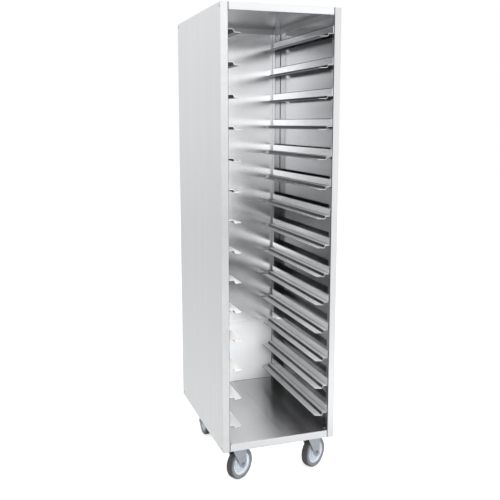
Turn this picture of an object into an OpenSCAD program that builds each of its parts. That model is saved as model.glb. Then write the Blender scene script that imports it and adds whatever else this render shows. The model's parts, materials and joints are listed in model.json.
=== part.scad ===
// Tray trolley of folded stainless sheet: closed sides and back, open front, a pair of stepped
// rails at each level and four swivel casters. Millimetres.
// X runs across the front from left to right, Y from the front to the back, Z up from the floor.
// The origin is on the floor, under the middle of the body.

/* [Body] */
// Width over the two side panels
body_w = 460; // [430:1:560]
// Depth from the front stiles to the back panel
body_d = 640; // [580:1:760]
// Height from the floor to the roof
total_h = 1800; // [1600:1:2000]
// Width of the folded front stiles and of the rear corner posts
stile_w = 28; // [26:1:36]
// Depth of the lip that each stile folds back to carry the rails
stile_lip = 18; // [14:1:24]
// Depth of the rear corner posts
post_d = 32; // [28:1:40]
// Open seam along the visible corner of each rear post
post_seam = 2.5; // [1.5:0.5:4]

/* [Sheet] */
// Thickness of the panels, posts and rails
sheet_t = 1.2; // [1:0.1:1.6]
// Inside radius of every fold
bend_r = 1.5; // [1:0.1:2]
// Gap between folded pieces that nest without touching
fit_gap = 0.3; // [0.2:0.1:0.5]

/* [Roof and floor panels] */
// Height of the roof panel's front fascia and other flanges
fascia_h = 26; // [22:1:32]
// Height of the floor panel's front lip and other flanges
floor_lip_h = 30; // [26:1:36]
// Depth of the safe edge folded back under each front lip
lip_return = 10; // [6:1:12]
// Width of the relief cut in the floor beside each stile lip
relief_w = 7; // [4:1:10]
// Depth of the relief cut in the floor behind each stile
relief_d = 30; // [26:1:36]

/* [Tray rails] */
// Number of tray levels
levels = 14; // [4:1:14]
// From the roof down to the tray support of the highest level
top_gap = 100; // [80:1:120]
// From the floor panel up to the tray support of the lowest level
bottom_gap = 64; // [50:1:90]
// Height of a rail's upright web
web_h = 30; // [24:1:36]
// Width of the upper ledge, for the wide tray
ledge_w = 18.5; // [14:0.5:22]
// Width of the slope between the ledge and the support
joggle_w = 4.5; // [3:0.5:6]
// Drop from the ledge to the support
joggle_h = 10; // [8:0.5:12]
// Width of the lower support, for the narrow tray
support_w = 28; // [26:1:34]
// From the front of the body to the front end of a rail
rail_setback = 6; // [4:1:9]
// Length of a rail's seat on its rear post
rail_seat = 14; // [10:1:20]
// Corner taken off the front of each web
web_corner = 3; // [2:1:8]
// Width of the corner taken off the front of each support
support_corner_w = 24; // [12:1:24]
// Depth of that corner
support_corner_d = 8; // [4:1:12]

/* [Base channels] */
// Thickness of the channels that carry the casters
channel_t = 2; // [1.5:0.5:3]
// Width of each channel over its walls
channel_w = 92; // [88:1:98]
// Inward lips that are welded to the floor panel
channel_lip = 15; // [10:1:20]

/* [Casters] */
// Wheel diameter over the tyre
wheel_d = 125; // [100:1:140]
// Width of the tyre
wheel_w = 30; // [26:1:34]
// Height of the tyre from the wheel centre to its tread
tyre_h = 16.5; // [14:0.5:20]
// Width of the wheel centre under the tyre
rim_w = 26; // [22:1:26]
// Diameter of the wheel hub
hub_d = 30; // [26:1:36]
// Length of the wheel hub
hub_l = 40; // [36:1:44]
// Horizontal distance from the swivel axis to the axle
trail = 20; // [16:1:26]
// Diameter of the axle bolt
axle_d = 10; // [8:1:12]
// Thickness of the pressed fork
fork_t = 2.5; // [2:0.5:3]
// Radius of the fork leg's end round the axle
leg_r = 15; // [13:1:17]
// From the swivel axis to the front edge of the fork's crown
crown_front = 28; // [26:1:30]
// Gap between the tyre and the underside of the crown
crown_gap = 8; // [6:1:12]
// Diameter of the ball race's lower ring, on the fork
lower_race_d = 46; // [42:1:50]
// Height of the lower ring
lower_race_h = 4; // [3:0.5:5]
// Diameter of the ball race's upper ring, under the plate
upper_race_d = 42; // [38:1:46]
// Height of the upper ring
upper_race_h = 7.2; // [6:0.1:9]
// Length of the mounting plate, across the trolley
plate_l = 100; // [96:1:106]
// Width of the mounting plate, along the trolley
plate_w = 85; // [80:1:88]
// Thickness of the mounting plate
plate_t = 3; // [2.5:0.5:4]
// Radius of the mounting plate's corners
plate_corner = 8; // [6:1:10]
// Distance between the bolts across the trolley
bolt_dx = 80; // [76:1:82]
// Distance between the bolts along the trolley
bolt_dy = 60; // [56:1:64]
// Diameter of the king pin that the fork turns on
king_pin_d = 12; // [10:1:14]
// From each side of the body to the swivel axis
caster_side_inset = 72; // [66:1:84]
// From the stiles' lips back to the front base channel
channel_setback = 1; // [0.5:0.5:20]
// From the back of the body to the rear swivel axes
caster_rear_inset = 105; // [80:1:120]
// How far the front casters are turned, from wheels trailing to the right
front_swivel = 30; // [0:5:60]
// How far the rear casters are turned
rear_swivel = -90; // [-120:5:-60]
// Radial clearance of the axle and the king pin in their bores
run_fit = 0.05; // [0.02:0.01:0.08]

/* [Fasteners] */
// Diameter of the mounting bolts
bolt_d = 8; // [6:1:8]
// Width across corners of the bolt heads and nuts
bolt_head_d = 15; // [13:1:16]
// Height of the bolt heads
bolt_head_h = 5.3; // [4:0.1:6]
// Height of the nuts
nut_h = 6.5; // [5:0.1:8]
// Diameter of the rivets at the panel corners
rivet_d = 4.8; // [4:0.1:5]
// Diameter of the rivet heads
rivet_head_d = 8; // [7:0.1:9]
// Height of the rivet heads
rivet_head_h = 0.9; // [0.6:0.1:1.4]
// From the front of the body to the front rivets
rivet_inset = 13; // [11:1:16]

/* [Hidden] */
caster_names = ["front_left", "front_right", "rear_left", "rear_right"];
function level_name(i) = i < 10 ? str("0", i) : str(i);

// How far a cut runs past the face it starts from
overrun = 1;
// Flat steps in each fold, and sides of each round
bend_steps = 5;
$fn = 72;

// Planes of the body
half_w = body_w / 2;
front_y = -body_d / 2;
rear_y = body_d / 2 - sheet_t;
wall_x = half_w - sheet_t;
stile_x = half_w - stile_w;
post_y = rear_y - post_d;
// Half the width that fits between the stiles, and the first depth clear of a stile's fold
between_x = stile_x - fit_gap;
fold_clear_y = front_y + sheet_t + bend_r + fit_gap;

// Heights of the caster's pieces, from the floor up
axle_z = wheel_d / 2;
rim_d = wheel_d - tyre_h * 2;
crown_z = wheel_d + crown_gap;
lower_race_z = crown_z + fork_t;
race_gap = 0.3;
upper_race_z = lower_race_z + lower_race_h + race_gap;
plate_z = upper_race_z + upper_race_h;
base_z = plate_z + plate_t;

// Heights of the body
floor_z = base_z + floor_lip_h;
top_level_z = total_h - top_gap;
level_pitch = (top_level_z - floor_z - bottom_gap) / (levels - 1);
function level_z(i) = top_level_z - level_pitch * (i - 1);

// Fork: running gap beside the hub, outer faces of the legs, and the straight skirt of the crown
hub_gap = 0.3;
leg_out = hub_l / 2 + hub_gap + fork_t;
crown_rear = trail + leg_r;
crown_skirt = 8;
fork_bend_r = 3;

// Axle bolt: head and nut outside the legs, their width as a share of the bolt's diameter
axle_hole_gap = 0.1;
axle_head_h = 6.4;
axle_nut_h = 8;
axle_head_share = 1.85;

// Wheel centre: thickness of its dished web at the hub and at the rim, and where the web's slopes
// start and end as shares of the way from the hub to the rim
dish_hub_w = 19;
dish_rim_w = 15;
dish_start_share = 0.08;
dish_end_share = 0.74;
rim_ring_share = 0.85;

// Tyre: height of the bead's flare over the rim, round shoulders and two grooves in the tread
bead_h = 3.5;
shoulder_r = 6;
shoulder_steps = 6;
groove_w = 1.6;
groove_depth = 1;
groove_place_share = 0.18;

// King pin: lower head under the crown and riveted head let into the plate
pin_head_lip = 4;
pin_head_d = king_pin_d + pin_head_lip * 2;
pin_head_h = 3;
pin_top_d = king_pin_d + plate_t * 2;
pin_top_h = plate_t / 2;

// Clearance of a bolt or rivet in its hole, and of a nut round its bolt
bolt_hole_gap = 0.5;
rivet_hole_gap = 0.1;
thread_gap = 0.05;
// Length of bolt past its nut
bolt_end = 1.5;
// Sides of a hexagon head or nut
hex = 6;

// Rivet: height of the tail, its width and the flat on the crown as shares of the head's width
rivet_tail_h = 2;
rivet_tail_share = 0.72;
rivet_crown_share = 0.5;

// Places of the rivets on each side panel
rivet_front_y = front_y + rivet_inset;
rivet_rear_y = rear_y - post_d / 2;
rivet_top_z = total_h - fascia_h / 2;
rivet_low_z = base_z + floor_lip_h / 2;
rivet_places = [for (y = [rivet_front_y, rivet_rear_y], z = [rivet_top_z, rivet_low_z]) [y, z]];

// Places of the casters
function caster_x(i) = (i % 2 == 0 ? -1 : 1) * (half_w - caster_side_inset);
function caster_y(i) =
    i < 2 ? front_y + stile_lip + channel_setback + channel_w / 2 : body_d / 2 - caster_rear_inset;
function caster_turn(i) = i < 2 ? front_swivel : rear_swivel;
bolt_places = [for (x = [-1, 1], y = [-1, 1]) [x * bolt_dx / 2, y * bolt_dy / 2]];

stainless = [0.80, 0.81, 0.82];
zinc = [0.70, 0.71, 0.73];
rubber = [0.42, 0.43, 0.45];
plastic = [0.88, 0.90, 0.93];

// Folded sheet: the path is one face of the sheet, and the thickness lies to the left of it
function unit(v) = v / norm(v);
function left_of(v) = [-v[1], v[0]];
function turned(v, a) = [v[0] * cos(a) - v[1] * sin(a), v[0] * sin(a) + v[1] * cos(a)];
function heading(path, i) = unit(path[i + 1] - path[i]);
function turn_between(a, b) = atan2(a[0] * b[1] - a[1] * b[0], a * b);
function fold(path, i, t, depth, inside_r) =
    let (
        into = heading(path, i - 1),
        turn = turn_between(into, heading(path, i)),
        side = sign(turn),
        face_r = turn > 0 ? inside_r + t : inside_r,
        centre = path[i] - into * face_r * tan(abs(turn) / 2) + left_of(into) * side * face_r,
        spoke = left_of(into) * -side * (face_r - side * depth)
    )
    [for (k = [0:bend_steps]) centre + turned(spoke, turn * k / bend_steps)];
function sheet_face(path, t, depth, inside_r) =
    let (last = len(path) - 1)
    concat(
        [path[0] + left_of(heading(path, 0)) * depth],
        [for (i = [1:last - 1]) each fold(path, i, t, depth, inside_r)],
        [path[last] + left_of(heading(path, last - 1)) * depth]
    );
function reversed(list) = [for (i = [len(list) - 1:-1:0]) list[i]];
module folded(path, t, inside_r = bend_r) {
    polygon(concat(sheet_face(path, t, 0, inside_r), reversed(sheet_face(path, t, t, inside_r))));
}

// Extrusions of an outline along X (outline in Y and Z) and along Y (outline in X and Z)
module along_x(from, to) {
    translate([from, 0, 0]) rotate([90, 0, 90]) linear_extrude(to - from) children();
}
module along_y(from, to) {
    translate([0, to, 0]) rotate([90, 0, 0]) linear_extrude(to - from) children();
}
module block(low, high) {
    translate(low) cube(high - low);
}
module round_hole_x(y, z, r, from, to) {
    translate([from, y, z]) rotate([0, 90, 0]) cylinder(h = to - from, r = r);
}

// Side panel: wall, front stile and the lip that the stile folds back
module left_side() {
    rivet_hole_r = rivet_d / 2 + rivet_hole_gap;
    sheet_under_roof = total_h - sheet_t - fit_gap;
    color(stainless)
    difference() {
        translate([0, 0, base_z]) linear_extrude(total_h - base_z)
            folded([
                [-half_w, rear_y],
                [-half_w, front_y],
                [-stile_x, front_y],
                [-stile_x, front_y + stile_lip]
            ], sheet_t);
        // The roof panel lies over the stile's lip
        block([-wall_x, front_y + sheet_t, sheet_under_roof], [0, rear_y + overrun, total_h + overrun]);
        for (p = rivet_places)
            round_hole_x(p[0], p[1], rivet_hole_r, -half_w - overrun, -wall_x + overrun);
    }
}
module left_side_panel() { left_side(); }
module right_side_panel() { mirror([1, 0, 0]) left_side(); }

// Back panel: one flat sheet, welded to the two rear posts
module back_panel() {
    color(stainless)
    block([-half_w, rear_y, base_z], [half_w, body_d / 2, total_h]);
}

// Rear post: a folded box that fills the corner between side wall and back panel
module left_post() {
    rivet_hole_r = rivet_d / 2 + rivet_hole_gap;
    color(stainless)
    difference() {
        translate([0, 0, base_z]) linear_extrude(total_h - sheet_t - fit_gap - base_z)
            folded([
                [-stile_x, post_y],
                [-stile_x, rear_y],
                [-wall_x, rear_y],
                [-wall_x, post_y],
                [-stile_x - post_seam, post_y]
            ], sheet_t);
        for (z = [rivet_top_z, rivet_low_z])
            round_hole_x(rivet_rear_y, z, rivet_hole_r, -half_w, -wall_x + sheet_t + overrun);
    }
}
module rear_left_post() { left_post(); }
module rear_right_post() { mirror([1, 0, 0]) left_post(); }

// Shallow inverted tray with flanges down on all four sides, between the side walls
module flanged_panel(top_z, lip_h) {
    low_z = top_z - lip_h;
    side_rear_y = post_y - fit_gap;
    // Front lip with its safe edge, top sheet and rear flange
    along_x(-between_x, between_x)
        folded([
            [rear_y, low_z],
            [rear_y, top_z],
            [front_y, top_z],
            [front_y, low_z],
            [front_y + lip_return, low_z]
        ], sheet_t);
    // Side flanges
    along_y(fold_clear_y, side_rear_y)
        folded([
            [wall_x, low_z],
            [wall_x, top_z],
            [-wall_x, top_z],
            [-wall_x, low_z]
        ], sheet_t);
}
module side_flange_holes(z) {
    rivet_hole_r = rivet_d / 2 + rivet_hole_gap;
    for (side = [-1, 1])
        round_hole_x(rivet_front_y, z, rivet_hole_r,
            side * wall_x - sheet_t - overrun, side * wall_x + sheet_t + overrun);
}

module roof_panel() {
    sheet_low_z = total_h - sheet_t;
    color(stainless)
    difference() {
        union() {
            flanged_panel(total_h, fascia_h);
            // The top sheet runs on over the stile lips and over the rear posts
            block([-wall_x, front_y + sheet_t + fit_gap, sheet_low_z], [wall_x, fold_clear_y, total_h]);
            block([-wall_x, post_y - fit_gap, sheet_low_z], [wall_x, rear_y, total_h]);
        }
        side_flange_holes(rivet_top_z);
    }
}

module floor_panel() {
    relief_low_z = floor_z - sheet_t - bend_r - fit_gap;
    color(stainless)
    difference() {
        flanged_panel(floor_z, floor_lip_h);
        // Relief cuts round the stile lips, which run down past the floor
        for (side = [-1, 1]) {
            mirror([side < 0 ? 1 : 0, 0, 0])
                block([between_x - relief_w, front_y + sheet_t + bend_r, relief_low_z],
                    [half_w, front_y + relief_d, floor_z + overrun]);
        }
        side_flange_holes(rivet_low_z);
    }
}

// Base channel: carries two casters, with its lips welded under the floor panel
module base_channel(middle_y) {
    // The ends stop short of the rivets' tails in the side flanges
    end_x = wall_x - sheet_t - rivet_tail_h - fit_gap;
    top_z = floor_z - sheet_t;
    low_y = middle_y - channel_w / 2;
    high_y = middle_y + channel_w / 2;
    color(stainless)
    difference() {
        along_x(-end_x, end_x)
            folded([
                [low_y + channel_lip, top_z],
                [low_y, top_z],
                [low_y, base_z],
                [high_y, base_z],
                [high_y, top_z],
                [high_y - channel_lip, top_z]
            ], channel_t);
        for (i = [0, 1], p = bolt_places)
            translate([caster_x(i) + p[0], middle_y + p[1], base_z - overrun])
                cylinder(h = channel_t + overrun * 2, r = bolt_d / 2 + bolt_hole_gap);
    }
}
module front_base_channel() { base_channel(caster_y(0)); }
module rear_base_channel() { base_channel(caster_y(2)); }

// Tray rail: upright web, upper ledge, joggle and lower support, folded from one strip
module left_rail(level) {
    under_z = level_z(level) - sheet_t;
    ledge_under_z = under_z + joggle_h;
    web_top_z = ledge_under_z + web_h;
    step_x = -stile_x + ledge_w;
    tip_x = step_x + joggle_w + support_w;
    rail_y = front_y + rail_setback;
    color(stainless)
    difference() {
        along_y(rail_y, post_y + rail_seat)
            folded([
                [-stile_x, web_top_z],
                [-stile_x, ledge_under_z],
                [step_x, ledge_under_z],
                [step_x + joggle_w, under_z],
                [tip_x, under_z]
            ], sheet_t);
        along_x(-stile_x - overrun, -stile_x + sheet_t + overrun)
            polygon([
                [rail_y - overrun, web_top_z - web_corner - overrun],
                [rail_y + web_corner + overrun, web_top_z + overrun],
                [rail_y - overrun, web_top_z + overrun]
            ]);
        translate([0, 0, under_z - overrun]) linear_extrude(sheet_t + overrun * 2)
            polygon([
                [tip_x - support_corner_w, rail_y],
                [tip_x, rail_y + support_corner_d],
                [tip_x + overrun, rail_y + support_corner_d],
                [tip_x + overrun, rail_y - overrun],
                [tip_x - support_corner_w, rail_y - overrun]
            ]);
    }
}
module right_rail(level) { mirror([1, 0, 0]) left_rail(level); }

// Blind rivets through the side walls, near the four corners of each
module rivet() {
    grip = sheet_t * 2;
    tail_r = rivet_head_d * rivet_tail_share / 2;
    rotate_extrude()
        polygon([
            [0, rivet_head_h],
            [rivet_head_d / 2 * rivet_crown_share, rivet_head_h],
            [rivet_head_d / 2, 0],
            [rivet_d / 2, 0],
            [rivet_d / 2, -grip],
            [tail_r, -grip],
            [tail_r, -grip - rivet_tail_h],
            [0, -grip - rivet_tail_h]
        ]);
}
module corner_rivets() {
    color(zinc)
    for (side = [-1, 1], p = rivet_places)
        translate([side * half_w, p[0], p[1]]) rotate([0, side * 90, 0]) rivet();
}

// Bolts from below through each caster plate, with nuts inside the channel
module caster_bolt() {
    shank_top_z = base_z + channel_t + nut_h + bolt_end;
    translate([0, 0, plate_z - bolt_head_h]) cylinder(h = bolt_head_h, d = bolt_head_d, $fn = hex);
    translate([0, 0, plate_z - bolt_head_h]) cylinder(h = shank_top_z - plate_z + bolt_head_h, d = bolt_d);
    translate([0, 0, base_z + channel_t])
        difference() {
            cylinder(h = nut_h, d = bolt_head_d, $fn = hex);
            translate([0, 0, -overrun])
                cylinder(h = nut_h + overrun * 2, r = bolt_d / 2 + thread_gap);
        }
}
module caster_bolts() {
    color(zinc)
    for (i = [0:3], p = bolt_places)
        translate([caster_x(i) + p[0], caster_y(i) + p[1], 0]) caster_bolt();
}

// King pins: headed below the fork's crown and riveted into the plate above
module king_pin() {
    head_top_z = crown_z - race_gap;
    rotate_extrude()
        polygon([
            [0, head_top_z - pin_head_h],
            [pin_head_d / 2, head_top_z - pin_head_h],
            [pin_head_d / 2, head_top_z],
            [king_pin_d / 2, head_top_z],
            [king_pin_d / 2, base_z - pin_top_h],
            [pin_top_d / 2, base_z - pin_top_h],
            [pin_top_d / 2, base_z],
            [0, base_z]
        ]);
}
module king_pins() {
    color(zinc)
    for (i = [0:3])
        translate([caster_x(i), caster_y(i), 0]) king_pin();
}

// Caster: each piece stands about the swivel axis, with the wheel trailing along +X and
// the axle along Y
module rounded_plate(l, w, r) {
    square([l, w - r * 2], center = true);
    square([l - r * 2, w], center = true);
    for (x = [-1, 1], y = [-1, 1])
        translate([x * (l / 2 - r), y * (w / 2 - r)]) circle(r);
}
module caster_plate() {
    color(zinc)
    difference() {
        union() {
            translate([0, 0, plate_z]) linear_extrude(plate_t) rounded_plate(plate_l, plate_w, plate_corner);
            translate([0, 0, upper_race_z]) cylinder(h = upper_race_h, d = upper_race_d);
        }
        for (p = bolt_places)
            translate([p[0], p[1], plate_z - overrun])
                cylinder(h = plate_t + overrun * 2, r = bolt_d / 2 + bolt_hole_gap);
        translate([0, 0, upper_race_z - overrun])
            cylinder(h = base_z - upper_race_z + overrun * 2, r = king_pin_d / 2 + thread_gap);
        translate([0, 0, base_z - pin_top_h])
            cylinder(h = pin_top_h + overrun, r = pin_top_d / 2 + thread_gap);
    }
}
module leg_outline() {
    axle = [trail, axle_z];
    shoulder = [-crown_front, crown_z - crown_skirt];
    reach = shoulder - axle;
    touch_a = atan2(reach[1], reach[0]) + acos(leg_r / norm(reach));
    polygon([
        shoulder,
        axle + turned([leg_r, 0], touch_a),
        axle,
        axle + [leg_r, 0],
        [crown_rear, lower_race_z],
        [-crown_front, lower_race_z]
    ]);
    translate(axle) circle(leg_r);
}
module caster_fork() {
    color(zinc)
    difference() {
        union() {
            intersection() {
                along_x(-crown_front - overrun, crown_rear + overrun)
                    folded([
                        [leg_out, axle_z - leg_r - overrun],
                        [leg_out, lower_race_z],
                        [-leg_out, lower_race_z],
                        [-leg_out, axle_z - leg_r - overrun]
                    ], fork_t, fork_bend_r);
                along_y(-leg_out - overrun, leg_out + overrun) leg_outline();
            }
            translate([0, 0, lower_race_z]) cylinder(h = lower_race_h, d = lower_race_d);
        }
        translate([0, 0, crown_z - overrun])
            cylinder(h = fork_t + lower_race_h + overrun * 2, r = king_pin_d / 2 + run_fit);
        translate([trail, leg_out + overrun, axle_z]) rotate([90, 0, 0])
            cylinder(h = leg_out * 2 + overrun * 2, r = axle_d / 2 + axle_hole_gap);
    }
}
module caster_axle() {
    end_y = leg_out + axle_nut_h + bolt_end;
    color(zinc)
    on_axle() {
        translate([0, 0, leg_out]) cylinder(h = axle_head_h, d = axle_d * axle_head_share, $fn = hex);
        translate([0, 0, -end_y]) cylinder(h = end_y + leg_out + axle_head_h, d = axle_d);
        translate([0, 0, -leg_out - axle_nut_h])
            difference() {
                cylinder(h = axle_nut_h, d = axle_d * axle_head_share, $fn = hex);
                translate([0, 0, -overrun])
                    cylinder(h = axle_nut_h + overrun * 2, r = axle_d / 2 + thread_gap);
            }
    }
}
module caster_rim() {
    hub_r = hub_d / 2;
    rim_r = rim_d / 2;
    way = rim_r - hub_r;
    half = [
        [axle_d / 2 + run_fit, hub_l / 2],
        [hub_r, hub_l / 2],
        [hub_r + way * dish_start_share, dish_hub_w / 2],
        [hub_r + way * dish_end_share, dish_rim_w / 2],
        [hub_r + way * rim_ring_share, rim_w / 2],
        [rim_r, rim_w / 2]
    ];
    color(plastic)
    on_axle() rotate_extrude() polygon(both_sides(half));
}
module caster_tyre() {
    tread_r = wheel_d / 2;
    side_y = wheel_w / 2;
    groove_y = wheel_w * groove_place_share;
    shoulder = [tread_r - shoulder_r, side_y - shoulder_r];
    half = concat(
        [[rim_d / 2, rim_w / 2], [rim_d / 2 + bead_h, side_y]],
        [for (k = [0:shoulder_steps]) shoulder + turned([0, shoulder_r], -90 * k / shoulder_steps)],
        [
            [tread_r, groove_y + groove_w / 2],
            [tread_r - groove_depth, groove_y + groove_w / 2],
            [tread_r - groove_depth, groove_y - groove_w / 2],
            [tread_r, groove_y - groove_w / 2]
        ]
    );
    color(rubber)
    on_axle() rotate_extrude() polygon(both_sides(half));
}

// An outline given for one side of the wheel, closed by its mirror image
function both_sides(half) = concat(half, [for (p = reversed(half)) [p[0], -p[1]]]);
module on_axle() {
    translate([trail, 0, axle_z]) rotate([90, 0, 0]) children();
}
module at_caster(i, turn) {
    translate([caster_x(i), caster_y(i), 0]) rotate(turn) children();
}

left_side_panel();
right_side_panel();
back_panel();
roof_panel();
floor_panel();
rear_left_post();
rear_right_post();
front_base_channel();
rear_base_channel();
for (i = [1:levels]) left_rail(i);
for (i = [1:levels]) right_rail(i);
corner_rivets();
caster_bolts();
king_pins();
for (i = [0:3]) {
    turn = caster_turn(i);
    at_caster(i, 0) caster_plate();
    at_caster(i, turn) caster_fork();
    at_caster(i, turn) caster_axle();
    at_caster(i, turn) caster_rim();
    at_caster(i, turn) caster_tyre();
}
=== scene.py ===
import json
import math
import bpy
import bmesh
from mathutils import Matrix, Vector


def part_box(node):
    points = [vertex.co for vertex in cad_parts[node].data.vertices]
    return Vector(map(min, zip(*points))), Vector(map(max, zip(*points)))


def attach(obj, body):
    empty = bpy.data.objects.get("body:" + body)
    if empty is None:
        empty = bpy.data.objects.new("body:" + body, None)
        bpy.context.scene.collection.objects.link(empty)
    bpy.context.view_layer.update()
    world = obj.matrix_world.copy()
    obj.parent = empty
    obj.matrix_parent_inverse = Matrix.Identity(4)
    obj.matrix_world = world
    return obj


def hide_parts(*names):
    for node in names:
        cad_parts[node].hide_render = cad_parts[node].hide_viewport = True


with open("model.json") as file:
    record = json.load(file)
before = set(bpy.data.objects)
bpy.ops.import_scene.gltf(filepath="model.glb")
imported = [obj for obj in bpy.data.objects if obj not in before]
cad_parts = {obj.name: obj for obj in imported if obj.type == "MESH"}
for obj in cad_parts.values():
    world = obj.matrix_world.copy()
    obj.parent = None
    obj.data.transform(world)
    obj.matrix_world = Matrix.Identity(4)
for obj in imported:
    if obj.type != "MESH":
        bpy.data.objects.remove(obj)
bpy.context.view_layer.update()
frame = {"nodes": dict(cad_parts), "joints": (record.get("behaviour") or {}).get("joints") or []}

mm = 0.001
weldMm = 0.002   # corners closer than this become one
nodes = frame["nodes"]
joints = {joint["name"]: joint for joint in frame["joints"]}
casters = ["front_left", "front_right", "rear_left", "rear_right"]
print("tray trolley: frame loaded,", len(nodes), "nodes")


# shared helpers
def hexColour(code):
    # sRGB hex to the linear colour that the shaders want; the numbers are the sRGB curve's own
    parts = [int(code[i:i + 2], 16) / 255 for i in (1, 3, 5)]
    return tuple(c / 12.92 if c <= 0.04045 else ((c + 0.055) / 1.055) ** 2.4 for c in parts) + (1.0,)


def addNode(tree, kind, inputs=None, **settings):
    # one shader node: settings are its properties, inputs are values or (node, output) links
    node = tree.nodes.new("ShaderNode" + kind)
    for name, value in settings.items():
        setattr(node, name, value)
    for socket, value in (inputs or {}).items():
        if isinstance(value, tuple) and isinstance(value[0], bpy.types.Node):
            tree.links.new(value[0].outputs[value[1]], node.inputs[socket])
        else:
            node.inputs[socket].default_value = value
    return node


def newMaterial(name):
    material = bpy.data.materials.new(name)
    material.use_nodes = True
    material.node_tree.nodes.clear()
    return material, material.node_tree


def dress(obj, material):
    obj.data.materials.clear()
    obj.data.materials.append(material)


def dressFaces(obj, material, isSo):
    # a further finish for the faces that a test picks out by where they are and which way they look
    obj.data.materials.append(material)
    index = len(obj.data.materials) - 1
    for face in obj.data.polygons:
        if isSo(face.center, face.normal):
            face.material_index = index


def toScene(name, data):
    obj = bpy.data.objects.new(name, data)
    bpy.context.scene.collection.objects.link(obj)
    return obj


def finishedMesh(obj):
    # the mesh that an object comes to after its modifiers or curve settings; the object goes again
    bpy.context.view_layer.update()
    mesh = bpy.data.meshes.new_from_object(obj.evaluated_get(bpy.context.evaluated_depsgraph_get()))
    bpy.data.objects.remove(obj)
    return mesh


def arcPoints(centre, radius, fromDeg, toDeg, steps):
    # points along an arc, as (across, up) pairs
    turns = [math.radians(fromDeg + (toDeg - fromDeg) * k / steps) for k in range(steps + 1)]
    return [(centre[0] + radius * math.cos(a), centre[1] + radius * math.sin(a)) for a in turns]


def lathe(bm, outline, sides, closed=False, place=(0, 0, 0)):
    # turns an outline of (radius, height) in millimetres about Z; a radius of 0 is a pole
    x, y, z = place
    rings = []
    for radius, height in outline:
        turns = [2 * math.pi * k / sides for k in range(sides if radius > 0 else 1)]
        around = [(x + radius * math.cos(a), y + radius * math.sin(a), z + height) for a in turns]
        rings.append([bm.verts.new([c * mm for c in point]) for point in around])
    following = rings[1:] + rings[:1] if closed else rings[1:]
    for low, high in zip(rings, following):
        for k, after in zip(range(sides), range(1, sides + 1)):
            around = [low[k % len(low)], low[after % len(low)], high[after % len(high)], high[k % len(high)]]
            corners = list(dict.fromkeys(around))
            if len(corners) > 2:
                bm.faces.new(corners)


def hexHead(bm, flats, height, place=(0, 0, 0), up=1, bore=0):
    # a hexagon with its corners chamfered by the turning tool, as on a real bolt head or nut
    perSide, chamferShare, chamferSlope, boreChamfer = 6, 0.47, 0.58, 0.6
    flatR, topR = flats / 2, flats * chamferShare
    outline = []
    for side in range(6):
        for k in range(perSide):
            a = math.atan(math.tan(math.radians(30)) * (2 * k / perSide - 1))
            outline.append((a + math.radians(60 * side), flatR / math.cos(a)))

    def ring(radii, heights):
        x, y, z = place
        points = [(x + r * math.cos(a), y + r * math.sin(a), z + up * h)
                  for (a, _), r, h in zip(outline, radii, heights)]
        return [bm.verts.new([c * mm for c in point]) for point in points]

    own = [r for _, r in outline]
    count = len(outline)
    low = ring(own, [0] * count)
    high = ring(own, [height - (r - topR) * chamferSlope for r in own])
    top = ring([topR] * count, [height] * count)
    rings = [low, high, top]
    if bore:
        rings = [ring([bore / 2] * count, [0] * count)] + rings
        rings.append(ring([bore / 2 + boreChamfer] * count, [height] * count))
        rings.append(ring([bore / 2] * count, [height - boreChamfer] * count))
        rings.append(rings[0])
    for a, b in zip(rings, rings[1:]):
        for k in range(count):
            bm.faces.new([a[k], a[(k + 1) % count], b[(k + 1) % count], b[k]])
    if not bore:
        bm.faces.new(low)
        bm.faces.new(top)


def thread(bm, diameter, pitch, low, high, sides, place=(0, 0, 0)):
    # a bolt's end: ridges one pitch apart, and a tip as thin as the thread is deep
    depthShare = 0.55   # of the pitch
    r, deep = diameter / 2, pitch * depthShare
    outline = [(0, low), (r - deep, low)]
    for k in range(int((high - low) / pitch)):
        outline += [(r, low + pitch * (k + 0.5)), (r - deep, low + pitch * (k + 1))]
    outline += [(r - deep, high), (0, high)]
    lathe(bm, outline, sides, place=place)


def meshFrom(bm, name, sharpDeg):
    # closes a bmesh into a mesh with smooth rounds and crisp edges
    bmesh.ops.remove_doubles(bm, verts=bm.verts, dist=weldMm * mm)
    bmesh.ops.recalc_face_normals(bm, faces=bm.faces)
    for face in bm.faces:
        face.smooth = True
    mesh = bpy.data.meshes.new(name)
    bm.to_mesh(mesh)
    bm.free()
    mesh.set_sharp_from_angle(angle=math.radians(sharpDeg))
    return mesh


def addPiece(name, mesh, matrix, body, slot, material, *stoodFor):
    # one finished piece: placed, riding its body, standing for its nodes
    obj = toScene(name, mesh)
    obj.matrix_world = matrix
    if not mesh.materials:
        mesh.materials.append(material)
    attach(obj, body)
    if stoodFor:
        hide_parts(*stoodFor)
    return obj


# stainless sheet, 304, ground on a belt in one direction: reflections smear across the grain and
# stay crisper along it. The outside is rubbed down to an even satin, the back, the floor and the
# rails keep the longer grain, and the sheet's own mill finish is left on the right inner wall and
# the posts. The left inside and the low corner of the back and of the floor are dulled by washing:
# a metal share under 1 gives them the pale haze that scatters light instead of mirroring the dark
# rails. The mill finish and the front are painted darker towards the foot: painted shade that stands
# for the shade in the deep bays between the lower rails and on the lower stile
stainlessSheet = {
    "streakShade": 0.965, "streakRange": (0.7, 1.3), "roughSpread": 0.02,
    # real grit lines are 0.1 mm wide; drawn coarse enough to show
    "groove": {"acrossMm": 1.6, "alongMm": 90, "detail": 3.0},
    # broad soft bands that the rolling leaves
    "band": {"acrossMm": 30, "alongMm": 900, "detail": 2.0},
    # slow unevenness of thin sheet between its folds
    "wave": {"acrossMm": 260, "alongMm": 416, "detail": 0.0},
    "waveDepthMm": 0.02, "grooveDepthMm": 0.1, "grooveBump": 0.01,
}


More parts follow.
